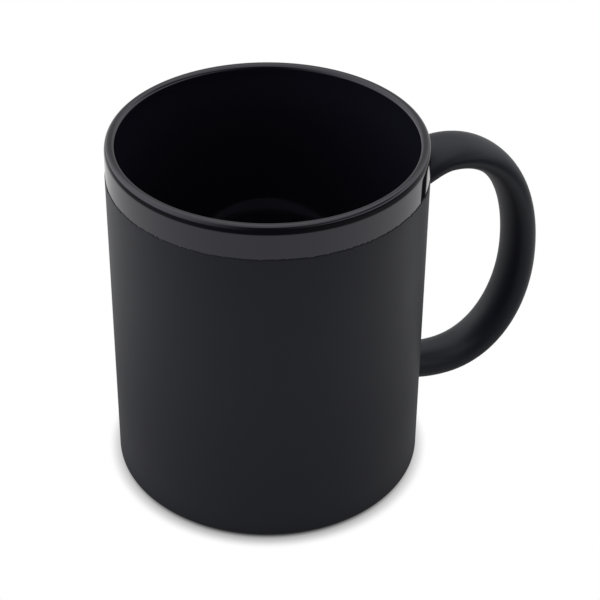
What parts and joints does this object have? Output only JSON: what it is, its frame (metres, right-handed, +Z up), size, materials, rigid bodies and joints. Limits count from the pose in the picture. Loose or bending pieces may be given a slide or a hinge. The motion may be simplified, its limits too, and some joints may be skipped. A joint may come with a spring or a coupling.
{
  "type": "ceramic mug",
  "caption": "Straight-sided ceramic mug with a rounded loop handle, a glossy dark glaze inside and at the rim, and a matte dark coating outside.",
  "frame": {"origin": "centre of the foot ring, on the cup's axis, level with the surface the mug stands on", "axes": "+Z up along the cup's axis, +X through the handle, +Y to the left when looking along +X"},
  "size_m": [0.1189, 0.081, 0.0955],
  "materials": {
    "clay": "unglazed fired stoneware, matte and slightly grainy",
    "slip": "fired slip, matte",
    "gloss_glaze": "glossy near-black glaze with a faint blue cast",
    "base_glaze": "glossy near-black glaze in the foot recess",
    "handle_glaze": "glossy near-black glaze under the handle's coating",
    "body_coating": "soft-touch matte coating, very dark grey",
    "handle_coating": "soft-touch matte coating, very dark grey, slightly worn on top"
  },
  "bodies": {
    "root": {"cup_body": "clay", "handle": "clay", "upper_handle_joint": "slip", "lower_handle_joint": "slip", "gloss_glaze": "gloss_glaze", "base_glaze": "base_glaze", "handle_glaze": "handle_glaze", "body_coating": "body_coating", "handle_coating": "handle_coating"}
  },
  "joints": []
}
